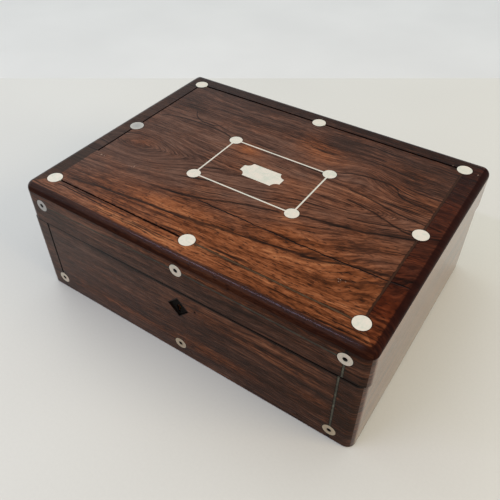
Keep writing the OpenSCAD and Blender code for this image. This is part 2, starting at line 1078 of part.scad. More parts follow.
module lid_field_veneer() {
  color([0.34, 0.16, 0.09])
    lid_place()
      difference() {
        translate([0, 0, panel_z])
          linear_extrude(veneer_t)
            difference() {
              union() {
                square([2 * line_x - line_w, 2 * line_y - line_w], center = true);
                translate([-line_x - line_w / 2, -line_y])
                  square([line_w, groove_stop_y + line_y]);
              }
              translate([-line_x, line_y + line_w / 2 - back_groove_w])
                square([2 * line_x, back_groove_w]);
              inner_frame();
              inner_discs();
              name_plate_shape();
            }
        disc_set(disc_r, 5);
      }
}

// The border line where it is still in its groove: right side and right half of the front
module lid_border_lines() {
  color([0.45, 0.44, 0.36])
    lid_place()
      difference() {
        union() {
          translate([line_x - line_w / 2, -line_y, panel_z])
            cube([line_w, 2 * line_y, veneer_t]);
          translate([0, -line_y - line_w / 2, panel_z])
            cube([line_x, line_w, veneer_t]);
        }
        translate([0, 0, -1])
          disc_set(disc_r, 5);
      }
}

module lid_inner_lines() {
  color([0.82, 0.80, 0.70])
    lid_place()
      translate([0, 0, panel_z])
        linear_extrude(veneer_t)
          difference() {
            inner_frame();
            inner_discs();
          }
}

module lid_discs() {
  color([0.88, 0.87, 0.80])
    lid_place() {
      disc_set(disc_r, veneer_t);
      translate([0, 0, panel_z])
        linear_extrude(veneer_t)
          inner_discs();
    }
}

module lid_name_plate() {
  color([0.86, 0.85, 0.76])
    lid_place()
      translate([0, 0, panel_z])
        linear_extrude(veneer_t)
          name_plate_shape();
}

module lid_front_lines() {
  color([0.50, 0.49, 0.42])
    lid_place()
      difference() {
        lid_front_lines_shape(0);
        ring_seats(lid_rings, ring_r);
        lid_front_wear();
      }
}

module lid_front_rings() {
  color([0.88, 0.87, 0.80])
    lid_place()
      front_rings(lid_rings);
}

module lid_lining() {
  color([0.32, 0.14, 0.30])
    lid_place()
      translate([-in_x + 1, -in_y + 1, ceil_z - lining_t])
        cube([2 * in_x - 2, 2 * in_y - 2, lining_t]);
}

module link_block() {
  base_place()
    translate([-link_half, -in_y - lock_depth, lid_z - 1])
      cube([2 * link_half, lock_depth + 0.5, 1 + plate_t]);
}

module link_screws(slot) {
  base_place()
    for (x = [4 - link_half, link_half - 4])
      translate([x, lock_y, lid_z])
        mirror([0, 0, 1])
          screw(slot);
}

module link_plate() {
  color([0.74, 0.60, 0.28])
    difference() {
      base_place() {
        translate([-link_half, -in_y - lock_depth, lid_z])
          cube([2 * link_half, lock_depth, plate_t]);
        for (x = staple_x)
          difference() {
            translate([x - staple_w / 2, lock_y - 1.8, hook_z - 2.3])
              cube([staple_w, 3.6, lid_z - hook_z + 2.8]);
            translate([x - 3, lock_y - 0.95, hook_z - 0.6])
              cube([6, 1.9, 4]);
          }
      }
      link_screws(false);
    }
}

module lid_screws() {
  color([0.78, 0.64, 0.32]) {
    base_place()
      hinge_screws(-1, true);
    link_screws(true);
  }
}

module lid_hinge_leaves() {
  color([0.78, 0.64, 0.32])
    base_place()
      for (x = [-hinge_x, hinge_x])
        lid_leaf(x, -1);
}

base_front_board();
base_back_board();
base_left_board();
base_right_board();
base_bottom_board();
base_baize();
base_front_veneer();
base_back_veneer();
base_left_veneer();
base_right_veneer();
base_front_lines();
base_front_rings();
lock_case();
lock_plate();
lock_bolt();
base_screws();
base_hinge_leaves();
lid_hinge_pins();
front_rail();
board_ledges();
long_partition();
short_partitions();
pen_tray();
inkwell_bottles();
inkwell_collars();
inkwell_cap_left();
inkwell_cap_right();
board_hinge_fixed();
board_hinge_moving();
writing_board();
board_leather();
prop_bracket();
prop_frame();
ratchet_strip();
lid_front_board();
lid_back_board();
lid_left_board();
lid_right_board();
lid_top_board();
lid_front_veneer();
lid_back_veneer();
lid_left_veneer();
lid_right_veneer();
lid_edge_front();
lid_edge_back();
lid_edge_left();
lid_edge_right();
lid_field_veneer();
lid_border_lines();
lid_inner_lines();
lid_discs();
lid_name_plate();
lid_front_lines();
lid_front_rings();
lid_lining();
link_plate();
lid_screws();
lid_hinge_leaves();
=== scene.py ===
"""Writing slope: finishes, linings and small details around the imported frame."""
import math
import random
import bmesh
import bpy
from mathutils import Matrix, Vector, noise


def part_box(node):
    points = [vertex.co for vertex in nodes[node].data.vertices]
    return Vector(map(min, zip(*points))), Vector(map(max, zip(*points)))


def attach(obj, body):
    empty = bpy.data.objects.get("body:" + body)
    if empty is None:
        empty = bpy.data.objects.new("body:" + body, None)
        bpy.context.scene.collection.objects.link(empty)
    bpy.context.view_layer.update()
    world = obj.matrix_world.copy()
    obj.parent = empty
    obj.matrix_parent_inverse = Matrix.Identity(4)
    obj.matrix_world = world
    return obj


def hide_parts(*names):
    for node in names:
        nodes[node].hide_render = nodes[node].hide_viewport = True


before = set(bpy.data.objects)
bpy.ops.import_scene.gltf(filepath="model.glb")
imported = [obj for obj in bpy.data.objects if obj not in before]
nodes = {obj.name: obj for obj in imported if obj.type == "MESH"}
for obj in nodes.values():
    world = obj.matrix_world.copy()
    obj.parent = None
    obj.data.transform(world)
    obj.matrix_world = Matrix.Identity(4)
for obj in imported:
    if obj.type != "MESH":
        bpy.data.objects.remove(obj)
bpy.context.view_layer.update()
MM = 0.001
scene = bpy.context.scene
scene.view_settings.view_transform = "Standard"

# Measures in millimetres; those that the frame holds come from it
lid_low, lid_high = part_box("lid_top_board")
LID_X = 1000 * (lid_low.x + lid_high.x) / 2
base_low, base_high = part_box("base_front_board")
BASE_X = 1000 * (base_low.x + base_high.x) / 2
HALF_W = 1000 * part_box("lid_right_veneer")[1].x - LID_X
HALF_D = 1000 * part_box("base_back_veneer")[1].y
TOP_Z = 1000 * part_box("lid_field_veneer")[1].z
RIM_Z = 1000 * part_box("base_front_veneer")[1].z
LINE_INSET = 17.8
LINE_X = HALF_W - LINE_INSET
LINE_Y = HALF_D - LINE_INSET
LINE_W = 1.3
DISC_R = 6.0
INNER_A, INNER_B, INNER_R = 45.2, 29.4, 5.6
GROOVE_STOP_Y = -48.0
RING_R = 5.2
LID_RINGS = [(-LINE_X - 1.3, 92.8), (2.5, 96.2), (LINE_X, 94.2)]
BASE_RINGS = [(-LINE_X, 12.2), (-0.3, 13.1), (LINE_X - 0.6, 10.6)]
DIRT_W = 0.9
NAIL_HOLE = (17.6, 61.8)
# Centre and half diagonals of the stain round the keyhole's lozenge
KEY_STAIN = ((1.9, 57.3), (9.9, 10.4))

# How far apart in the noise two seeds lie
SEED_STEP = 7.31

# The photograph's view
CAMERA_SPOT = Vector((195.89, -307.76, 366.70)) * MM
CAMERA_AIM = Vector((42.4, -78.9, 110.0)) * MM
SENSOR = 36.0
LENS = 40.08

# Colours, in linear light
SOOT = (0.0045, 0.0030, 0.0024)
CRACK = (0.0015, 0.001, 0.001)
# Grime with painted shade, for the lid's rounded edge and the top of its front
EDGE_DIRT_AND_SHADE = (0.012, 0.0040, 0.0034)
# Old glue and dirt with painted shade, for carcass faces that no veneer covers
GLUE_AND_SHADE = (0.0035, 0.0025, 0.002)
MAHOGANY = (0.115, 0.042, 0.020)
INNER_WOOD = (0.095, 0.035, 0.018)
GILT = (0.58, 0.40, 0.14)
# Stops of the woods' ramps, from the darkest grain to the palest
WARM_WOOD = [(0.22, (0.018, 0.0060, 0.0020)), (0.38, (0.066, 0.0195, 0.0062)),
             (0.50, (0.138, 0.0420, 0.0138)), (0.62, (0.212, 0.0710, 0.0260)),
             (0.78, (0.325, 0.1280, 0.0500))]
COOL_WOOD = [(0.20, (0.025, 0.0120, 0.0075)), (0.38, (0.055, 0.0252, 0.0160)),
             (0.50, (0.093, 0.0452, 0.0288)), (0.62, (0.128, 0.0655, 0.0425)),
             (0.80, (0.183, 0.0990, 0.0660))]
# The right side's pale tones: fading of the veneer together with a painted reflection of the bright floor
FADED_AND_REFLECTED_WOOD = [(0.38, (0.042, 0.015, 0.004)), (0.47, (0.155, 0.062, 0.013)), (0.56, (0.25, 0.115, 0.034))]


class Shader:
    """A node material under construction; inputs are numbers, tuples or sockets."""

    def __init__(self, name):
        self.material = bpy.data.materials.new(name)
        self.material.use_nodes = True
        self.tree = self.material.node_tree
        self.tree.nodes.clear()
        output = self.tree.nodes.new("ShaderNodeOutputMaterial")
        self.surface = self.tree.nodes.new("ShaderNodeBsdfPrincipled")
        self.tree.links.new(self.surface.outputs[0], output.inputs[0])

    def node(self, kind, inputs=None, **settings):
        made = self.tree.nodes.new("ShaderNode" + kind)
        for key, value in settings.items():
            setattr(made, key, value)
        for key, value in (inputs or {}).items():
            self.put(made.inputs[key], value)
        return made

    def put(self, socket, value):
        if isinstance(value, bpy.types.NodeSocket):
            self.tree.links.new(value, socket)
        elif socket.type == "RGBA" and len(value) == 3:
            socket.default_value = (*value, 1.0)
        else:
            socket.default_value = value

    def set(self, **values):
        """Sockets of the surface shader, with _ for a space in their names."""
        for key, value in values.items():
            self.put(self.surface.inputs[key.replace("_", " ")], value)

    def math(self, operation, a, b=0.0, c=0.0, clamp=False):
        made = self.node("Math", {0: a, 1: b, 2: c}, operation=operation, use_clamp=clamp)
        return made.outputs[0]

    def combined(self, operation, values):
        """The operation over all the values, one after the other."""
        total = values[0]
        for value in values[1:]:
            total = self.math(operation, total, value)
        return total

    def add(self, *terms):
        return self.combined("ADD", terms)

    def times(self, *factors):
        return self.combined("MULTIPLY", factors)

    def largest(self, *values):
        return self.combined("MAXIMUM", values)

    def scaled(self, value, factor, shift=0.0):
        return self.math("MULTIPLY_ADD", value, factor, shift)

    def inverse(self, value):
        return self.math("SUBTRACT", 1.0, value)

    def clamped(self, value):
        return self.math("ADD", value, 0.0, clamp=True)

    def step(self, value, low, high):
        """0 below low and 1 above high, smooth between; falls where low is the greater."""
        rising = high > low
        ends = (low, high) if rising else (high, low)
        values = (0.0, 1.0) if rising else (1.0, 0.0)
        made = self.node("MapRange", {0: value, 1: ends[0], 2: ends[1], 3: values[0], 4: values[1]},
                         interpolation_type="SMOOTHSTEP")
        return made.outputs[0]

    def band(self, value, low, high, soft):
        """1 between low and high, with soft edges."""
        rise = self.step(value, low - soft, low + soft)
        return self.times(rise, self.step(value, high + soft, high - soft))

    def gap(self, value, line):
        """How far the value is from the line, on either side."""
        return self.math("ABSOLUTE", self.scaled(value, 1.0, -line))

    def squares(self, a, b):
        return self.math("MULTIPLY_ADD", a, a, self.math("MULTIPLY", b, b))

    def distance(self, x, y, centre):
        """How far the point (x, y) is from the centre."""
        across = self.scaled(x, 1.0, -centre[0])
        along = self.scaled(y, 1.0, -centre[1])
        return self.math("SQRT", self.squares(across, along))

    def hill(self, u, v, centre, spread):
        """1 at the centre, falling off like a bell."""
        a = self.scaled(u, 1.0 / spread[0], -centre[0] / spread[0])
        b = self.scaled(v, 1.0 / spread[1], -centre[1] / spread[1])
        return self.math("POWER", math.e, self.scaled(self.squares(a, b), -1.0))

    def place(self):
        """The point in the frame, in millimetres, as three sockets."""
        spot = self.node("TexCoord").outputs["Object"]
        large = self.node("VectorMath", {0: spot, 1: (1000.0, 1000.0, 1000.0)}, operation="MULTIPLY")
        parts = self.node("SeparateXYZ", {0: large.outputs[0]})
        return parts.outputs[0], parts.outputs[1], parts.outputs[2]

    def noise(self, x, y, seed, detail=2.0, roughness=0.5, z=0.0, distortion=0.0):
        """Noise from 0 to 1; x and y are (value, size of a patch) pairs."""
        layer = self.math("ADD", z, seed * SEED_STEP)
        spot = self.node("CombineXYZ", {0: self.scaled(x[0], 1.0 / x[1]), 1: self.scaled(y[0], 1.0 / y[1]),
                                        2: layer})
        made = self.node("TexNoise", {"Vector": spot.outputs[0], "Scale": 1.0, "Detail": detail,
                                      "Roughness": roughness, "Distortion": distortion})
        return made.outputs[0]

    def ramp(self, factor, stops):
        made = self.node("ValToRGB", {0: factor})
        elements = made.color_ramp.elements
        while len(elements) > 1:
            elements.remove(elements[0])
        for index, (position, colour) in enumerate(stops):
            element = elements[0] if index == 0 else elements.new(position)
            element.position = position
            element.color = (*colour, 1.0)
        return made.outputs[0]

    def mix(self, factor, a, b, blend="MIX"):
        made = self.node("Mix", data_type="RGBA", blend_type=blend)
        self.put(made.inputs[0], factor)
        self.put(made.inputs[6], a)
        self.put(made.inputs[7], b)
        return made.outputs[2]

    def tinted(self, factor, colour, tint):
        """The colour times the tint, as far as the factor says."""
        return self.mix(factor, colour, tint, blend="MULTIPLY")

    def bump(self, height, distance):
        return self.node("Bump", {"Height": height, "Distance": distance}).outputs[0]

    def streak(self, u, v, points, width, seed, ragged=0.6):
        """A dark line along the grain through points (u, v) in millimetres; 1 on the line."""
        us = [p[0] for p in points]
        vs = [p[1] for p in points]
        u0, span_u = us[0], us[-1] - us[0]
        v0, span_v = min(vs) - 1.0, max(vs) - min(vs) + 2.0
        along = self.scaled(u, 1.0 / span_u, -u0 / span_u)
        curve = self.node("FloatCurve", {1: along})
        made = curve.mapping.curves[0]
        made.points[0].location = (0.0, (vs[0] - v0) / span_v)
        made.points[-1].location = (1.0, (vs[-1] - v0) / span_v)
        for pu, pv in points[1:-1]:
            made.points.new((pu - u0) / span_u, (pv - v0) / span_v)
        curve.mapping.update()
        line = self.scaled(curve.outputs[0], span_v, v0)
        wander = self.noise((u, 9.0), (u, 900.0), seed, detail=3, roughness=0.6)
        offset = self.add(self.math("SUBTRACT", v, line), self.scaled(wander, 2.4, -1.2))
        wide = self.noise((u, 14.0), (u, 900.0), seed + 3, detail=2)
        edge = self.times(self.scaled(wide, 2.0 * ragged, 1.0 - ragged), width)
        core = self.math("DIVIDE", self.math("ABSOLUTE", offset), edge)
        return self.times(self.step(core, 1.6, 0.35), self.band(along, 0.02, 0.98, 0.02))


def wood_figure(g, u, v, seed, sway):
    """Height in the log: the grain lines are its contours."""
    slow = g.noise((u, 210.0), (v, 75.0), seed, detail=1)
    quick = g.noise((u, 60.0), (v, 26.0), seed + 1, detail=2)
    return g.add(v, g.scaled(slow, 2.6 * sway, -1.3 * sway), g.scaled(quick, 0.6 * sway, -0.3 * sway))


def rosewood(g, u, v, height, seed, warmth, half=0.0, level=0.0, lines=0.5):
    """Colour and relief of rosewood, grey-brown where warmth is 0 and orange where it is 1."""
    broad = g.noise((height, 7.0), (u, 85.0), seed + 2, detail=2, z=half)
    cloud = g.noise((height, 5.0), (u, 19.0), seed + 8, detail=4, roughness=0.6, z=half)
    ring = g.noise((height, 1.5), (u, 120.0), seed + 3, detail=2, roughness=0.55, z=half)
    fibre = g.noise((height, 0.9), (u, 8.0), seed + 4, detail=2, roughness=0.6, z=half)
    grain = g.add(g.scaled(ring, 0.56), g.scaled(fibre, 0.66, -0.485))
    tone = g.add(g.scaled(broad, 0.45), g.scaled(cloud, 0.30), grain, level)
    colour = g.mix(warmth, g.ramp(tone, COOL_WOOD), g.ramp(tone, WARM_WOOD))
    strength = g.step(g.noise((height, 9.0), (u, 45.0), seed + 6, detail=3, z=half), 0.42, 0.62)
    veins = g.step(g.noise((height, 1.5), (u, 95.0), seed + 5, detail=2, z=half), 0.56, 0.63)
    colour = g.mix(g.times(veins, g.scaled(strength, lines, 0.25)), colour, SOOT)
    # The pores run nearly level, whatever the figure does
    level_v = g.add(g.scaled(v, 0.8), g.scaled(height, 0.2))
    pores = g.step(g.noise((level_v, 0.85), (u, 5.5), seed + 7, detail=2), 0.58, 0.66)
    colour = g.mix(g.times(pores, g.scaled(warmth, 0.55, 0.12)), colour, SOOT)
    relief = g.add(g.scaled(pores, -0.7), g.scaled(fibre, 0.3), g.scaled(veins, -0.15))
    return colour, relief


def polish(g, colour, relief, shine, roughness=0.30):
    """Old french polish: dull on the flats, with more shine where shine says so."""
    x, y, z = g.place()
    wear = g.noise((x, 34.0), (g.add(y, z), 34.0), 91, detail=4, roughness=0.6)
    g.set(Base_Color=colour, Specular_IOR_Level=shine, Normal=g.bump(relief, 0.00006))
    g.set(Roughness=g.add(g.scaled(wear, 0.16, -0.08), roughness))


# Dark lines in the lid's veneer: (x, y) points from the middle of the lid, and a width
LID_STREAKS = [
    ([(-129, -89), (-67, -81), (-33, -78), (8, -73), (57, -66), (84, -62), (107, -54), (132, -49),
      (148, -45)], 1.25),
    ([(-47, -58), (-20, -52), (-8, -47), (8, -41), (40, -33)], 1.1),
    ([(52, 35), (63, 41), (76, 43), (90, 43), (98, 40), (101, 35), (110, 31), (132, 29)], 1.0),
    ([(45, -30), (73, -24), (97, -20), (107, -16), (118, -12), (134, -6)], 1.1),
    ([(65, 20.5), (90, 17), (110, 13), (145, 11)], 0.9),
    ([(70, 8), (90, 5.5), (102, 2), (115, -2), (128, -4)], 0.9),
    ([(80, -12), (100, -7), (115, -2), (128, 0)], 0.7),
    ([(-104, 51), (-80, 38), (-68, 46)], 0.7),
    ([(-128, 27), (-83, 35), (-50, 30)], 0.8),
]
# Where the lid's figure bulges: centre, spread and depth
KNOTS = [((-106, -19), (32, 20), 22.0), ((70, 46), (22, 15), 16.0), ((74, 1), (36, 12), 11.0),
         ((-80, 40), (14, 9), 4.0)]
# Where the lid's colour changes: centre, spread, warmth and lightness
LID_PATCHES = [
    ((-108, -17), (12, 9), 0.4, 0.0), ((20, 57), (26, 13), 0.7, 0.06), ((-28, 24), (12, 8), 0.8, 0.10),
    ((35, 74), (20, 9), -0.3, -0.22), ((-62, -13), (14, 9), -0.2, -0.12), ((112, 58), (40, 26), -0.1, -0.12),
    ((-90, 80), (60, 18), -0.2, -0.03), ((95, -85), (60, 22), 0.3, 0.03), ((-28, -104), (60, 7), 0.1, 0.21),
    ((68, -47), (24, 10), 0.3, 0.15), ((22, -44), (20, 9), -0.1, -0.07), ((110, -10), (22, 10), 0.0, -0.06),
    ((65, -78), (30, 14), 0.1, 0.05), ((-25, 76), (24, 12), 0.0, -0.05), ((-124, 84), (18, 26), 0.0, -0.06),
    ((0, 66), (60, 16), 0.0, -0.04), ((-114, -12), (22, 15), 0.0, -0.05), ((104, -48), (24, 12), 0.1, -0.03),
    ((-116, 60), (20, 12), 0.15, -0.09), ((-50, 62), (26, 12), 0.05, -0.05),
    ((-110, -27), (26, 10), 0.0, -0.05),
]
# Where the lid's polish is chipped: centre and spread
LID_NICKS = [((-124, -51), (7, 3)), ((-93, -49), (5, 3)), ((-118, -72), (3, 3)), ((106, -70), (5, 4)),
             ((122, 95), (4, 2)), ((144, 94), (3, 3)), ((-30, -54), (3, 2))]
LID_CRACK = [(-26, -54.6), (10, -55.2), (50, -55.4), (95, -55.0), (150.5, -52.0)]
FRONT_CRACK = [(-126, -98.3), (-90, -99.2), (-52, -99.8)]
# Where the front's colour changes: centre x and z, spread, warmth and lightness
FRONT_PATCHES = [
    ((30, 66), (42, 9), 0.32, 0.09), ((88, 62), (30, 9), 0.32, 0.09), ((22, 21), (34, 6), 0.5, 0.10),
    ((46, 36), (34, 6), -0.3, -0.10), ((90, 22), (24, 7), -0.2, -0.06), ((114, 36), (11, 6), 0.1, 0.13),
    ((-74, 92), (30, 5), -0.1, 0.14), ((-85, 55), (60, 24), 0.0, 0.045), ((-75, 20), (60, 8), 0.1, 0.05),
    ((116, 92), (9, 9), 0.0, -0.09), ((60, 32), (30, 8), -0.2, -0.03), ((40, 84), (40, 7), -0.2, -0.07),
    ((20, 101), (70, 4), 0.5, 0.09), ((-48, 37), (26, 5), -0.2, -0.05),
]


def patched(g, u, v, warmth, level, patches):
    """Warmth and level with what the patches add to them."""
    for centre, spread, warm, light in patches:
        patch = g.hill(u, v, centre, spread)
        warmth = g.add(warmth, g.scaled(patch, warm))
        level = g.add(level, g.scaled(patch, light))
    return g.clamped(warmth), level


def lid_dirt(g, u, v):
    """Dirt in the seams of the lid's inlay: 1 along the edges of the discs and of the border line."""
    across = g.math("ABSOLUTE", u)
    deep = g.math("ABSOLUTE", v)
    seams = []
    for cx, cy, radius in ((LINE_X, LINE_Y, DISC_R), (0.0, LINE_Y, DISC_R), (LINE_X, 0.0, DISC_R),
                           (INNER_A, INNER_B, INNER_R)):
        away = g.distance(across, deep, (cx, cy))
        seams.append(g.step(away, radius + DIRT_W, radius + 0.1))
    for value, line, other, end in ((across, LINE_X, deep, LINE_Y), (deep, LINE_Y, across, LINE_X)):
        edge = g.step(g.gap(value, line), LINE_W / 2 + 0.75, LINE_W / 2 + 0.05)
        seams.append(g.times(edge, g.step(other, end + 0.5, end - 0.5)))
    # In front of the left groove's end the veneer runs on to the edge
    lost = g.times(g.step(v, GROOVE_STOP_Y, GROOVE_STOP_Y - 1.0), g.step(u, -LINE_X + 4.0, -LINE_X + 3.0),
                   g.step(v, -LINE_Y + DISC_R, -LINE_Y + DISC_R + 2.0))
    patchy = g.noise((u, 3.0), (v, 3.0), 33, detail=3)
    return g.times(g.largest(*seams), g.inverse(lost), g.step(patchy, 0.32, 0.55))


def lid_figure(g, u, v):
    """Height in the log, which half of the log it is, and the tilt of the grain.

    The plank is cut through the log's heart, so its grain closes in nested points to the right.
    """
    tilt = g.times(u, g.step(v, -100.0, -25.0))
    sway = g.scaled(g.noise((u, 70.0), (v, 30.0), 11, detail=2), 9.0, -4.5)
    off_heart = g.add(v, g.scaled(tilt, -0.132, 5.8), sway)
    either = g.math("SQRT", g.math("MULTIPLY_ADD", off_heart, off_heart, 9.0))
    height = g.add(either, g.scaled(off_heart, 0.13), g.scaled(tilt, 0.15))
    for centre, spread, depth in KNOTS:
        height = g.add(height, g.scaled(g.hill(u, v, centre, spread), -depth))
    wobble = g.scaled(g.step(v, -70.0, -30.0), 1.5, 1.0)
    ripple = g.scaled(g.noise((u, 16.0), (v, 9.0), 13, detail=2), 1.0, -0.5)
    half = g.scaled(g.step(off_heart, -1.5, 1.5), 2.3)
    return g.add(height, g.times(wobble, ripple)), half, tilt


def lid_tone(g, u, v):
    """How warm and how light the lid's veneer is from place to place."""
    front = g.times(g.step(v, -36.0, -84.0), g.scaled(g.step(u, -130.0, -30.0), 0.62, 0.38))
    warmth = g.add(front, g.scaled(g.step(u, -60.0, 110.0), 0.42),
                   g.scaled(g.noise((u, 42.0), (v, 20.0), 5, detail=3), 1.5, -0.72))
    level = g.add(g.scaled(g.step(v, 30.0, 92.0), -0.09), g.scaled(g.step(u, -40.0, -125.0), -0.03),
                  g.scaled(g.step(u, 40.0, 130.0), -0.05))
    return patched(g, u, v, warmth, level, LID_PATCHES)


def nicks(g, u, v, spots):
    """Small pale chips in the polish around the given places."""
    grain = g.noise((u, 1.5), (v, 1.1), 77, detail=1)
    near = g.largest(*[g.hill(u, v, centre, spread) for centre, spread in spots])
    return g.step(g.add(grain, g.scaled(near, 0.22)), 0.84, 0.90)


def lid_top(name, fall_x=0.0, fall_y=0.0, strip=None, pieced=False):
    """The lid's top veneer; over a rounded edge the figure runs on down the side.

    strip is the tint of an edge strip, and a pieced strip has a darker length in front of a joint.
    """
    g = Shader(name)
    x, y, z = g.place()
    drop = g.scaled(z, 1.0, -TOP_Z)
    u = g.add(x, g.scaled(drop, fall_x, -LID_X))
    v = g.add(y, g.scaled(drop, fall_y))
    height, half, tilt = lid_figure(g, u, v)
    warmth, level = lid_tone(g, u, v)
    level_v = g.add(v, g.scaled(tilt, -0.10))
    colour, relief = rosewood(g, u, level_v, height, 12, warmth, half, level, lines=0.62)
    for index, (points, width) in enumerate(LID_STREAKS):
        colour = g.mix(g.scaled(g.streak(u, v, points, width, 40 + index), 0.80), colour, SOOT)
    seam = lid_dirt(g, u, v)
    if strip:
        colour = g.tinted(g.scaled(g.step(v, -92.0, -80.0), 0.30, 0.70), colour, strip)
    if pieced:
        dark = g.step(v, GROOVE_STOP_Y + 0.5, GROOVE_STOP_Y - 0.5)
        colour = g.mix(g.scaled(dark, 0.6), colour, (0.022, 0.014, 0.010))
        seam = g.largest(seam, g.step(g.gap(v, GROOVE_STOP_Y), 0.9, 0.3))
    colour = g.mix(nicks(g, u, v, LID_NICKS), colour, (0.36, 0.27, 0.20))
    colour = g.mix(g.scaled(seam, 0.85), colour, SOOT)
    crack = g.largest(g.streak(u, v, LID_CRACK, 0.55, 60, ragged=0.8),
                      g.streak(u, v, FRONT_CRACK, 0.45, 61, ragged=0.8))
    colour = g.mix(crack, colour, CRACK)
    relief = g.add(relief, g.scaled(crack, -3.0))
    # The rounded edge is darkened, partly by hands' grime and partly as painted shade; its crest has kept
    # more of its polish
    rounding = g.step(z, TOP_Z - 0.15, TOP_Z - 0.6)
    rubbed = g.times(rounding, g.step(z, TOP_Z - 11.0, TOP_Z - 6.0))
    colour = g.mix(g.scaled(rubbed, 0.85), colour, EDGE_DIRT_AND_SHADE)
    crest = g.times(rounding, g.step(z, TOP_Z - 3.6, TOP_Z - 2.4), g.step(u, 144.0, 136.0))
    haze = g.add(g.scaled(g.step(v, -5.0, 80.0), 0.010), g.scaled(g.step(u, 10.0, -120.0), 0.022))
    shine = g.add(g.times(g.inverse(rounding), g.scaled(haze, 1.0, 0.022)), g.scaled(crest, 0.11, 0.008))
    polish(g, colour, relief, shine, roughness=g.scaled(rounding, -0.12, 0.30))
    return g.material


def front_dirt(g, u, z, rings, lines):
    """Dirt round the rings and lines of the front face and the keyhole, and in a small nail hole."""
    (stain_x, stain_z), (half_u, half_z) = KEY_STAIN
    lozenge = g.add(g.math("ABSOLUTE", g.scaled(u, 1 / half_u, -stain_x / half_u)),
                    g.math("ABSOLUTE", g.scaled(z, 1 / half_z, -stain_z / half_z)))
    places = [g.step(g.distance(u, z, NAIL_HOLE), 1.2, 0.5), g.step(lozenge, 1.06, 0.96)]
    for ring in rings:
        places.append(g.step(g.distance(u, z, ring), RING_R + DIRT_W, RING_R + 0.1))
    for line in lines:
        places.append(g.step(g.gap(u, line), LINE_W / 2 + 0.8, LINE_W / 2 + 0.05))
    return g.largest(*places)


def faded_and_reflected_veneer(g, u, z, relief, seed):
    """The right side's colour: long level streaks, redder towards the front; its paleness is partly fading
    and partly a painted reflection of the bright floor, strongest at the foot.
    """
    fine = g.noise((z, 2.4), (u, 170.0), seed + 20, detail=3, roughness=0.6)
    broad = g.noise((z, 9.0), (u, 60.0), seed + 21, detail=2)
    pale = g.ramp(g.add(g.scaled(fine, 0.7), g.scaled(broad, 0.3)), FADED_AND_REFLECTED_WOOD)
    pale = g.tinted(0.8, pale, g.ramp(relief, [(0.30, (0.58, 0.52, 0.46)), (0.62, (1.0, 1.0, 1.0))]))
    pale = g.tinted(g.step(u, -20.0, -105.0), pale, (0.78, 0.62, 0.50))
    # Paler at the foot: painted reflection of the floor
    return g.mix(g.scaled(g.step(z, 19.0, 9.0), 0.40), pale, (0.30, 0.19, 0.095))


def side_veneer(name, along, seed, faded_and_reflecting=False, centre=0.0, dirt=None):
    """Veneer on an upright face, its grain level; along is 0 for the x axis and 1 for the y axis.

    dirt holds the rings and the upright lines of a front face, which has worn patches too.
    """
    g = Shader(name)
    spot = g.place()
    u, z = g.scaled(spot[along], 1.0, -centre), spot[2]
    height = wood_figure(g, u, z, seed, 9.0)
    cloud = g.noise((u, 160.0), (z, 14.0), seed + 9, detail=2)
    warmth = g.add(g.scaled(cloud, 1.8, -0.62), g.scaled(g.band(z, 12.0, 26.0, 6.0), 0.30),
                   g.scaled(g.step(z, TOP_Z - 16.0, TOP_Z - 6.0), 0.6))
    level = g.scaled(g.step(u, 126.0, 136.0), -0.09, -0.125) if dirt else -0.13
    warmth, level = patched(g, u, z, warmth, level, FRONT_PATCHES if dirt else [])
    colour, relief = rosewood(g, u, z, height, seed + 1, warmth, level=level, lines=0.36 if dirt else 0.5)
    colour = g.tinted(1.0, colour, (0.86, 0.84, 0.84))
    joint = g.gap(z, RIM_Z + 0.15)
    seam = g.step(joint, 1.1, 0.2)
    shine = 0.04
    if dirt:
        # From x -76 on, a wider dark band at the joint: painted shadow under the lid's overhanging edge
        wide = g.times(g.step(u, -80.0, -72.0), g.step(joint, 2.0, 1.2))
        seam = g.largest(seam, wide, front_dirt(g, u, z, *dirt))
        # Painted shade along the top of the lid's front, under the rounded edge, with some grime
        colour = g.mix(g.scaled(g.step(z, TOP_Z - 12.0, TOP_Z - 6.0), 0.75), colour, EDGE_DIRT_AND_SHADE)
        shine = g.scaled(g.step(u, 60.0, -130.0), 0.062, 0.045)
    if faded_and_reflecting:
        outward = g.node("SeparateXYZ", {0: g.node("TexCoord").outputs["Normal"]}).outputs[0]
        flat = g.step(outward, 0.90, 0.995)
        # The flat of the right side takes the pale colour: partly fading of the veneer, partly painted
        # reflection
        colour = g.mix(g.scaled(flat, 0.75), colour, faded_and_reflected_veneer(g, u, z, relief, seed))
        g.set(Coat_Weight=g.scaled(flat, 0.74), Coat_Roughness=0.17)
        seam = g.times(seam, g.scaled(g.step(u, -60.0, 20.0), 0.7, 0.3))
        shine = 0.3
    colour = g.mix(g.scaled(seam, 0.88), colour, SOOT)
    polish(g, colour, relief, shine)
    return g.material


def plain_wood(name, colour, seed, along=0, across=2, satin=0.45):
    """Mahogany or rosewood inside the box: straight grain and pores."""
    g = Shader(name)
    spot = g.place()
    u, v = spot[along], spot[across]
    height = wood_figure(g, u, v, seed, 5.0)
    tone = g.noise((height, 3.0), (u, 120.0), seed + 3, detail=4, roughness=0.65)
    pale = tuple(min(1.0, c * 1.5) for c in colour)
    deep = tuple(c * 0.5 for c in colour)
    shade = g.ramp(tone, [(0.25, deep), (0.5, colour), (0.78, pale)])
    pores = g.step(g.noise((height, 0.4), (u, 7.0), seed + 7, detail=1), 0.60, 0.72)
    shade = g.mix(g.scaled(pores, 0.5), shade, deep)
    g.set(Base_Color=shade, Roughness=satin, Normal=g.bump(g.scaled(pores, -1.0), 0.00005))
    return g


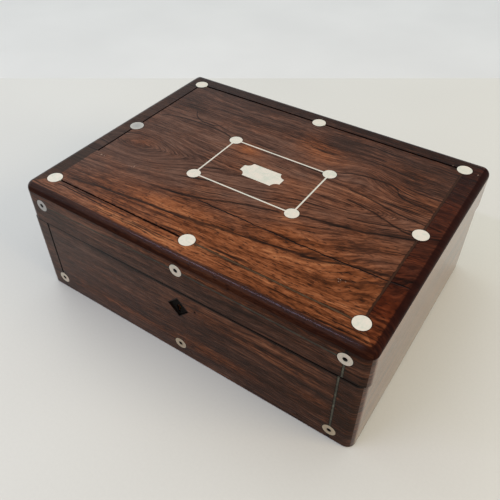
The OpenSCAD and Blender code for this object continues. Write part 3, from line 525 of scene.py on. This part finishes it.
def carcass(name, colour, seed, along, across):
    """Mahogany boards, darker on the outer face where no veneer covers them: old glue and dirt, with painted
    shade.
    """
    g = plain_wood(name, colour, seed, along, across)
    x, y, z = g.place()
    past_face = g.largest(g.scaled(g.math("ABSOLUTE", y), 1.0, -HALF_D),
                          g.scaled(g.math("ABSOLUTE", x), 1.0, -HALF_W))
    # Old glue and dirt, and painted shade, where the carcass shows past the veneer and at the top of the
    # lid's boards
    glue_and_shade_mask = g.largest(g.step(past_face, -2.6, -1.9), g.step(z, TOP_Z - 2.5, TOP_Z - 1.6))
    clean = g.surface.inputs["Base Color"].links[0].from_socket
    g.set(Base_Color=g.mix(glue_and_shade_mask, clean, GLUE_AND_SHADE), Specular_IOR_Level=g.scaled(glue_and_shade_mask, -0.2, 0.22))
    return g.material


def mother_of_pearl(name, body, seed, rings=(), dull=None, dull_from=0.0, dull_to=0.0):
    """Pearl; rings have a dirty bore, and turn to the dull colour from one x to another."""
    g = Shader(name)
    x, y, z = g.place()
    drift = g.noise((x, 7.0), (g.add(y, z), 4.5), seed, detail=4, roughness=0.6, distortion=0.8)
    spot = g.node("CombineXYZ", {0: x, 1: y, 2: z}).outputs[0]
    layer = g.node("TexWave", {"Vector": spot, "Scale": 0.11, "Distortion": 7.0, "Detail": 2.0,
                               "Detail Scale": 0.7}).outputs[1]
    rosy = tuple(c * k for c, k in zip(body, (1.10, 1.02, 1.02)))
    green = tuple(c * k for c, k in zip(body, (0.86, 0.93, 0.92)))
    lustre = g.add(g.scaled(drift, 0.95), g.scaled(layer, 0.05))
    colour = g.ramp(lustre, [(0.34, green), (0.5, body), (0.68, rosy)])
    # The disc halfway along the lid's left edge has lost its shine
    worn = g.hill(x, y, (LID_X - LINE_X, 0.0), (9.0, 9.0))
    colour = g.mix(worn, colour, (0.25, 0.255, 0.235))
    if rings:
        colour = g.mix(g.step(x, dull_from, dull_to), colour, dull)
    for ring in rings:
        away = g.distance(x, z, ring)
        colour = g.mix(g.step(away, 2.1, 1.5), colour, SOOT)
        colour = g.mix(g.scaled(g.band(away, 2.5, 2.7, 0.25), 0.35), colour, (0.10, 0.09, 0.07))
    g.set(Base_Color=colour, Roughness=g.scaled(drift, 0.25, 0.22), Specular_IOR_Level=0.4)
    g.set(Coat_Weight=0.2, Coat_Roughness=0.1, Normal=g.bump(layer, 0.00001))
    return g.material


def metal(name, colour, dull, seed):
    """Old metal, half of it gone dull in patches."""
    g = Shader(name)
    x, y, z = g.place()
    stain = g.noise((x, 6.0), (g.add(y, z), 6.0), seed, detail=5, roughness=0.65)
    brushed = g.noise((x, 1.2), (g.add(y, z), 0.5), seed + 1, detail=3)
    shade = g.mix(g.scaled(g.step(stain, 0.4, 0.7), 0.5), colour, dull)
    g.set(Base_Color=shade, Metallic=1.0, Roughness=g.scaled(stain, 0.3, 0.25))
    g.set(Normal=g.bump(brushed, 0.000015))
    return g.material


def pewter():
    """Line inlay: grey on the front, browner on top and darkest along the lid's right side."""
    g = Shader("pewter")
    x, y, z = g.place()
    stain = g.noise((x, 5.0), (g.add(y, z), 5.0), 21, detail=4, roughness=0.7)
    shade = g.ramp(stain, [(0.3, (0.018, 0.016, 0.010)), (0.5, (0.052, 0.049, 0.033)),
                           (0.72, (0.125, 0.125, 0.092))])
    on_top = g.step(z, TOP_Z - 3.0, TOP_Z - 2.0)
    shade = g.mix(g.scaled(on_top, 0.72), shade, (0.055, 0.023, 0.007))
    right = g.times(on_top, g.step(x, LINE_X + LID_X - 2.5, LINE_X + LID_X - 1.5))
    shade = g.mix(g.scaled(right, 0.8), shade, (0.026, 0.008, 0.003))
    level_line = g.times(g.step(y, 4.5 - HALF_D, 2.5 - HALF_D), g.step(x, LINE_X - 1.0, LINE_X - 4.0),
                         g.step(z, RIM_Z + 2.0, RIM_Z + 4.0))
    shade = g.mix(g.scaled(level_line, 0.62), shade, (0.012, 0.010, 0.007))
    g.set(Base_Color=shade, Metallic=g.scaled(on_top, -0.2, 0.3), Roughness=0.5)
    g.set(Specular_IOR_Level=g.scaled(on_top, -0.14, 0.2), Normal=g.bump(stain, 0.00004))
    return g.material


def glass():
    """Old moulded glass, slightly rippled."""
    g = Shader("bottle_glass")
    x, y, z = g.place()
    ripple = g.noise((x, 14.0), (g.add(y, z), 14.0), 31, detail=2)
    g.set(Base_Color=g.ramp(ripple, [(0.2, (0.80, 0.90, 0.87)), (0.8, (0.90, 0.96, 0.94))]), Roughness=0.05)
    g.set(Transmission_Weight=0.92, IOR=1.5, Normal=g.bump(ripple, 0.0002))
    return g.material


def assign(material, *names):
    """Puts the material on every slot of the named CAD nodes."""
    for name in names:
        piece = nodes[name]
        if not piece.data.materials:
            piece.data.materials.append(material)
        for index in range(len(piece.data.materials)):
            piece.data.materials[index] = material


def finish_veneers():
    assign(lid_top("lid_top_veneer"), "lid_field_veneer")
    assign(lid_top("lid_edge_front_wood", fall_y=1.0), "lid_edge_front")
    assign(lid_top("lid_edge_back_wood", fall_y=-1.0, strip=(0.41, 0.42, 0.44)), "lid_edge_back")
    assign(lid_top("lid_edge_left_wood", fall_x=1.0, strip=(0.48, 0.52, 0.55), pieced=True), "lid_edge_left")
    assign(lid_top("lid_edge_right_wood", fall_x=-1.0, strip=(0.46, 0.30, 0.25)), "lid_edge_right")
    base_dirt = (BASE_RINGS, (-LINE_X, LINE_X - 0.6))
    lid_front_dirt = (LID_RINGS, (LINE_X,))
    assign(side_veneer("base_front_wood", 0, 70, centre=BASE_X, dirt=base_dirt), "base_front_veneer")
    assign(side_veneer("lid_front_wood", 0, 70, centre=LID_X, dirt=lid_front_dirt), "lid_front_veneer")
    assign(side_veneer("back_wood", 0, 80), "base_back_veneer", "lid_back_veneer")
    assign(side_veneer("left_wood", 1, 90), "base_left_veneer", "lid_left_veneer")
    assign(side_veneer("right_wood", 1, 100, faded_and_reflecting=True), "base_right_veneer", "lid_right_veneer")


def finish_boards():
    assign(carcass("carcass_long_boards", MAHOGANY, 110, 0, 2), "base_front_board", "base_back_board",
           "lid_front_board", "lid_back_board")
    assign(carcass("carcass_short_boards", MAHOGANY, 112, 1, 2), "base_left_board", "base_right_board",
           "lid_left_board", "lid_right_board")
    assign(carcass("lid_panel_wood", MAHOGANY, 114, 0, 1), "lid_top_board")
    assign(plain_wood("floor_wood", MAHOGANY, 116, across=1).material, "base_bottom_board", "board_ledges",
           "ratchet_strip", "prop_frame")
    assign(plain_wood("inner_rosewood", INNER_WOOD, 120, across=1, satin=0.36).material, "front_rail",
           "long_partition", "short_partitions", "pen_tray", "writing_board")


def finish_inlay():
    assign(mother_of_pearl("mother_of_pearl", (0.56, 0.54, 0.445), 15), "lid_discs", "lid_name_plate",
           "lid_inner_lines")
    lid_rings = [(cx + LID_X, cz) for cx, cz in LID_RINGS]
    base_rings = [(cx + BASE_X, cz) for cx, cz in BASE_RINGS]
    assign(mother_of_pearl("dull_pearl", (0.48, 0.42, 0.335), 17, lid_rings, dull=(0.29, 0.275, 0.25),
                           dull_from=-60.0, dull_to=-100.0), "lid_front_rings")
    assign(mother_of_pearl("yellowed_pearl", (0.44, 0.375, 0.28), 16, base_rings, dull=(0.33, 0.255, 0.165),
                           dull_from=-100.0, dull_to=-60.0), "base_front_rings")
    assign(pewter(), "base_front_lines", "lid_front_lines", "lid_border_lines")


def finish_fittings(brass):
    assign(brass, "lock_case", "lock_plate", "link_plate", "base_screws", "lid_screws", "base_hinge_leaves",
           "lid_hinge_leaves", "inkwell_collars", "inkwell_cap_left", "inkwell_cap_right",
           "board_hinge_fixed", "board_hinge_moving", "prop_bracket")
    assign(metal("plain_steel", (0.45, 0.43, 0.40), (0.14, 0.10, 0.07), 140), "lock_bolt", "lid_hinge_pins")
    assign(glass(), "inkwell_bottles")


def cloth(name, deep, mid, pale, nap):
    """Wool cloth with its hair and worn patches."""
    g = Shader(name)
    x, y, z = g.place()
    hair = g.noise((x, 0.7), (y, 0.5), 201, detail=4, roughness=0.75, distortion=0.6)
    patch = g.noise((x, 24.0), (y, 24.0), 202, detail=3)
    tone = g.add(g.scaled(hair, 0.65), g.scaled(patch, 0.35))
    g.set(Base_Color=g.ramp(tone, [(0.35, deep), (0.5, mid), (0.66, pale)]), Roughness=0.95)
    g.set(Specular_IOR_Level=0.15, Sheen_Weight=nap, Sheen_Roughness=0.5, Normal=g.bump(hair, 0.00025))
    return g.material


def leather(half_w, y0, y1):
    """Wine-red skiver with grain, rubbed paler in the middle, and a gilt double line round its edge."""
    g = Shader("writing_leather")
    x, y, z = g.place()
    x = g.scaled(x, 1.0, -BASE_X)
    pebble = g.node("TexVoronoi", {"Vector": g.node("CombineXYZ", {0: x, 1: y}).outputs[0], "Scale": 1.1},
                    feature="DISTANCE_TO_EDGE").outputs[0]
    wear = g.noise((x, 30.0), (y, 22.0), 212, detail=4, roughness=0.6)
    middle = g.hill(x, y, (0, (y0 + y1) / 2 - 10), (90, 50))
    shade = g.ramp(g.add(g.scaled(wear, 0.6), g.scaled(middle, 0.22), g.scaled(pebble, 0.3)),
                   [(0.25, (0.030, 0.007, 0.010)), (0.45, (0.075, 0.018, 0.022)),
                    (0.75, (0.150, 0.048, 0.042))])
    from_side = g.math("SUBTRACT", half_w, g.math("ABSOLUTE", x))
    from_end = g.math("MINIMUM", g.scaled(y, 1.0, -y0), g.scaled(y, -1.0, y1))
    inset = g.math("MINIMUM", from_side, from_end)
    gilt = g.largest(g.band(inset, 6.0, 7.0, 0.1), g.band(inset, 8.4, 8.7, 0.08))
    gilt = g.times(gilt, g.step(g.noise((x, 2.5), (y, 2.5), 213, detail=3), 0.30, 0.48))
    g.set(Base_Color=g.mix(gilt, shade, GILT), Metallic=g.scaled(gilt, 0.8))
    g.set(Roughness=g.scaled(wear, 0.3, 0.35), Normal=g.bump(g.add(pebble, g.scaled(gilt, -0.6)), 0.00012))
    return g.material


def lining_paper(half_w, half_d):
    """Plum paper, flecked and aged, browner along its edges."""
    g = Shader("lining_paper")
    x, y, z = g.place()
    fleck = g.noise((x, 1.6), (y, 1.0), 221, detail=4, roughness=0.7)
    age = g.noise((x, 60.0), (y, 45.0), 222, detail=4, roughness=0.6)
    rim = g.math("MINIMUM", g.scaled(g.gap(x, LID_X), -1.0, half_w),
                 g.scaled(g.math("ABSOLUTE", y), -1.0, half_d))
    shade = g.ramp(g.add(g.scaled(fleck, 0.4), g.scaled(age, 0.6)),
                   [(0.3, (0.055, 0.020, 0.042)), (0.5, (0.100, 0.038, 0.078)), (0.7, (0.150, 0.066, 0.110))])
    shade = g.mix(g.scaled(g.step(rim, 5.0, 0.5), 0.45), shade, (0.035, 0.016, 0.022))
    g.set(Base_Color=shade, Roughness=0.8, Specular_IOR_Level=0.2)
    g.set(Normal=g.bump(g.add(fleck, g.scaled(age, 1.5)), 0.00012))
    return g.material


def outline(half_w, half_d, radius, each=28, turn=6):
    """A rectangle with rounded corners, always with the same number of points."""
    turns = [((sx * (half_w - radius), sy * (half_d - radius)), start)
             for sx, sy, start in ((1, 1, 0.0), (-1, 1, 0.5), (-1, -1, 1.0), (1, -1, 1.5))]
    corners = []
    for (cx, cy), start in turns:
        angles = [(start + 0.5 * k / turn) * math.pi for k in range(turn + 1)]
        corners.append([Vector((cx + radius * math.cos(a), cy + radius * math.sin(a))) for a in angles])
    points = []
    for here, following in zip(corners, corners[1:] + corners[:1]):
        points += here
        points += [here[-1].lerp(following[0], k / each) for k in range(1, each)]
    return points


def bridge(mesh, one, other):
    """Faces between two rings of as many points."""
    for k in range(len(one)):
        after = (k + 1) % len(one)
        mesh.faces.new((one[k], one[after], other[after], other[k]))


def linked_piece(name, mesh):
    data = bpy.data.meshes.new(name)
    mesh.to_mesh(data)
    mesh.free()
    piece = bpy.data.objects.new(name, data)
    scene.collection.objects.link(piece)
    return piece


# Rings of a sheet's points: how far in from its edge, and how far below its face as a share of the thickness
LEAF_RINGS = [(0.0, 0.5), (0.12, 0.2), (0.35, 0.04), (1.0, 0.0), (4.0, 0.0), (9.0, 0.0), (16.0, 0.0),
              (26.0, 0.0), (38.0, 0.0), (50.0, 0.0)]
FLAT_RIM = 3.0
# Each sheet's name, CAD node, body, slot, how it is held and the piece under it, and then its corner radius,
# ripple and whether it faces up
SHEETS = [
    (("baize_under_box", "base_baize", "base", "baize", "stretched", "base_bottom_board"),
     (5.0, 0.03, False)),
    (("leather_on_board", "board_leather", "board", "writing_leather", "laid", "writing_board"),
     (0.4, 0.04, True)),
    (("paper_in_lid", "lid_lining", "lid", "lining_paper", "laid", "lid_top_board"),
     (0.4, 0.08, False)),
]


def soft_leaf(name, low, high, radius, ripple, faces_up):
    """A thin sheet in the box from low to high, with soft edges and slight ripples on the face that shows."""
    low, high = low / MM, high / MM
    half_w, half_d, thick = (high - low).x / 2, (high - low).y / 2, (high - low).z
    middle = (low + high) / 2
    face, inward = (high.z, -1) if faces_up else (low.z, 1)
    mesh = bmesh.new()
    rings = []
    for inset, drop in LEAF_RINGS:
        ring = []
        for point in outline(half_w - inset, half_d - inset, max(radius - inset, 0.05)):
            px, py = point.x + middle.x, point.y + middle.y
            depth = drop * thick + ripple
            if inset > FLAT_RIM:
                depth += ripple * noise.noise(Vector((px / 19.0, py / 15.0, 3.0)))
            ring.append(mesh.verts.new(Vector((px, py, face + inward * depth)) * MM))
        if rings:
            bridge(mesh, rings[-1], ring)
        rings.append(ring)
    back = [mesh.verts.new(Vector((v.co.x, v.co.y, (face + inward * thick) * MM))) for v in rings[0]]
    bridge(mesh, back, rings[0])
    mesh.faces.new(rings[-1])
    mesh.faces.new(back)
    bmesh.ops.recalc_face_normals(mesh, faces=mesh.faces)
    bmesh.ops.triangulate(mesh, faces=[f for f in mesh.faces if len(f.verts) > 4])
    piece = linked_piece(name, mesh)
    piece.data.shade_smooth()
    return piece


def add_soft_pieces():
    """Baize under the box, skiver on the board and the paper in the lid."""
    skiver_low, skiver_high = (1000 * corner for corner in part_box("board_leather"))
    paper_low, paper_high = (1000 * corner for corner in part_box("lid_lining"))
    materials = {
        "baize": cloth("green_baize", deep=(0.012, 0.028, 0.014), mid=(0.030, 0.066, 0.034),
                       pale=(0.062, 0.115, 0.062), nap=0.4),
        "writing_leather": leather((skiver_high.x - skiver_low.x) / 2, skiver_low.y, skiver_high.y),
        "lining_paper": lining_paper((paper_high.x - paper_low.x) / 2, paper_high.y),
    }
    for (name, node, body, slot, held, under), form in SHEETS:
        low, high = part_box(node)
        piece = soft_leaf(name, low, high, *form)
        piece.data.materials.append(materials[slot])
        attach(piece, body)
        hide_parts(node)


# Screws of the writing board's hinges
SCREW_R = 1.5
SCREW_Z = 73.0
SCREW_PITCH = 8.0
SCREW_DEPTH = 0.35
SCREW_DOME = 0.10
SCREW_SLOT_FLOOR = 0.08
HALF_SLOT = 0.16 * SCREW_R
CROWN_SHARE = 0.75
RIM_STEPS = 14
# How far the middle of a hinge leaf lies from the outer corner of the pair of hinges
LEAF_MIDDLE_X = 12.5
LEAF_MIDDLE_Y = 3.4


def screw_point(mesh, point, angle, spot, z):
    """A point of the head at spot, whose slot is turned by the angle."""
    px = point[0] * math.cos(angle) - point[1] * math.sin(angle)
    py = point[0] * math.sin(angle) + point[1] * math.cos(angle)
    return mesh.verts.new(Vector((spot[0] + px, spot[1] + py, z)) * MM)


def add_half_head(mesh, side, angle, spot):
    """The half of a domed screw head on one side of its slot."""
    start = math.asin(HALF_SLOT / SCREW_R)
    arc = [start + (math.pi - 2 * start) * k / RIM_STEPS for k in range(RIM_STEPS + 1)]
    rim = [(SCREW_R * math.cos(a), side * SCREW_R * math.sin(a)) for a in arc]
    lip = side * HALF_SLOT
    inner = [(px * CROWN_SHARE, lip + (py - lip) * CROWN_SHARE) for px, py in rim]
    low_rim = [screw_point(mesh, p, angle, spot, SCREW_Z - SCREW_DEPTH) for p in rim]
    top_rim = [screw_point(mesh, p, angle, spot, SCREW_Z) for p in rim]
    crown = [screw_point(mesh, p, angle, spot, SCREW_Z + SCREW_DOME) for p in inner]
    for k in range(RIM_STEPS):
        mesh.faces.new((low_rim[k], low_rim[k + 1], top_rim[k + 1], top_rim[k]))
        mesh.faces.new((top_rim[k], top_rim[k + 1], crown[k + 1], crown[k]))
    mesh.faces.new(crown)
    mesh.faces.new((low_rim[0], top_rim[0], crown[0], crown[-1], top_rim[-1], low_rim[-1]))
    mesh.faces.new(low_rim)


def screw_heads(name, spots, material, seed):
    """Slotted heads, each a little off its neighbours' angle."""
    turn = random.Random(seed)
    mesh = bmesh.new()
    reach = math.sqrt(SCREW_R ** 2 - HALF_SLOT ** 2)
    slot_floor = [(reach, HALF_SLOT), (-reach, HALF_SLOT), (-reach, -HALF_SLOT), (reach, -HALF_SLOT)]
    floor_z = SCREW_Z - SCREW_DEPTH + SCREW_SLOT_FLOOR
    for spot in spots:
        angle = turn.uniform(0, math.pi)
        for side in (-1, 1):
            add_half_head(mesh, side, angle, spot)
        mesh.faces.new([screw_point(mesh, p, angle, spot, floor_z) for p in slot_floor])
    bmesh.ops.recalc_face_normals(mesh, faces=mesh.faces)
    piece = linked_piece(name, mesh)
    piece.data.materials.append(material)
    return piece


def add_screws(brass):
    """Three screws in each leaf of the writing board's hinges."""
    for node, body, seed in (("board_hinge_fixed", "base", 5), ("board_hinge_moving", "board", 6)):
        low, high = (1000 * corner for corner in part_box(node))
        leaf_y = low.y + LEAF_MIDDLE_Y if body == "base" else high.y - LEAF_MIDDLE_Y
        centres = (low.x + LEAF_MIDDLE_X, high.x - LEAF_MIDDLE_X)
        spots = [(cx + k * SCREW_PITCH, leaf_y) for cx in centres for k in (-1, 0, 1)]
        piece = screw_heads(node + "_screws", spots, brass, seed)
        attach(piece, body)


def add_camera():
    """The photograph's own view."""
    data = bpy.data.cameras.new("camera")
    data.sensor_width = SENSOR
    data.lens = LENS
    camera = bpy.data.objects.new("camera", data)
    camera.location = CAMERA_SPOT
    camera.rotation_euler = (CAMERA_AIM - CAMERA_SPOT).to_track_quat("-Z", "Y").to_euler()
    scene.collection.objects.link(camera)
    scene.camera = camera


def pale_stone(name, colour):
    """The ground: a plain colour with fine specks and faint clouds."""
    g = Shader(name)
    x, y, z = g.place()
    speck = g.noise((x, 2.2), (g.add(y, z), 2.2), 3, detail=4, roughness=0.7)
    cloud = g.noise((x, 300.0), (g.add(y, z), 300.0), 4, detail=2)
    light = tuple(min(1.0, c * 1.03) for c in colour)
    dim = tuple(c * 0.965 for c in colour)
    tone = g.add(g.scaled(speck, 0.35), g.scaled(cloud, 0.65))
    g.set(Base_Color=g.ramp(tone, [(0.35, dim), (0.65, light)]), Roughness=0.4, Specular_IOR_Level=0.3)
    return g.material


# The ground, in metres: directions away from the camera and across the view, and how far off the table ends
AWAY = Vector((-0.557, 0.830, 0.0))
ACROSS = Vector((0.830, 0.557, 0.0))
TABLE_END = 0.758
# Each level's name, how far it reaches past the table's end, its depth, half its width, height and colour
LEVELS = [("table", 0.0, 2.2, 1.6, 0.0, (0.58, 0.585, 0.535)),
          ("room_floor", 4.0, 8.0, 4.0, -0.45, (0.72, 0.72, 0.69))]


def add_stage():
    """A pale table top that ends behind the box, square to the view, and the room's paler floor below it."""
    foot = Vector((CAMERA_SPOT.x, CAMERA_SPOT.y, 0.0))
    for name, past, depth, half, height, colour in LEVELS:
        edge = foot + AWAY * (TABLE_END + past)
        near = edge - AWAY * depth
        corners = [edge - ACROSS * half, edge + ACROSS * half, near + ACROSS * half, near - ACROSS * half]
        mesh = bpy.data.meshes.new(name)
        mesh.from_pydata([(p.x, p.y, height) for p in corners], [], [(0, 1, 2, 3)])
        piece = bpy.data.objects.new(name, mesh)
        mesh.materials.append(pale_stone("pale_" + name, colour))
        scene.collection.objects.link(piece)


# Each lamp's name, place, aim, size, power and colour
LAMPS = [("window", (-1.3, 0.35, 1.35), (0, 0, 0.05), (1.4, 1.0), 4.5, (1.0, 1.0, 1.0)),
         ("sky", (-0.50, -0.70, 1.09), (-0.50, 0, 0.08), (0.8, 0.05), 4.0, (0.70, 0.66, 1.0)),
         ("lamp", (1.4, 0.1, 0.9), (0.2, 0, 0.0), (0.9, 0.7), 12.0, (1.0, 0.74, 0.44))]
ROOM_COLOUR = (0.94, 0.97, 1.0)
ROOM_STRENGTH = 0.92


def add_light():
    """A faint window, a narrow strip of sky that the front edge mirrors, a warm lamp and a pale room."""
    for name, spot, aim, size, power, colour in LAMPS:
        data = bpy.data.lights.new(name, "AREA")
        data.shape = "RECTANGLE"
        data.size, data.size_y = size
        data.energy = power
        data.color = colour
        lamp = bpy.data.objects.new(name, data)
        lamp.location = spot
        lamp.rotation_euler = (Vector(aim) - Vector(spot)).to_track_quat("-Z", "Y").to_euler()
        scene.collection.objects.link(lamp)
    world = bpy.data.worlds.new("room")
    world.use_nodes = True
    background = world.node_tree.nodes["Background"]
    background.inputs["Color"].default_value = (*ROOM_COLOUR, 1.0)
    background.inputs["Strength"].default_value = ROOM_STRENGTH
    scene.world = world


add_camera()
add_stage()
add_light()
brass = metal("aged_brass", (0.62, 0.43, 0.17), (0.16, 0.10, 0.04), 130)
finish_veneers()
finish_boards()
finish_inlay()
finish_fittings(brass)
add_soft_pieces()
add_screws(brass)
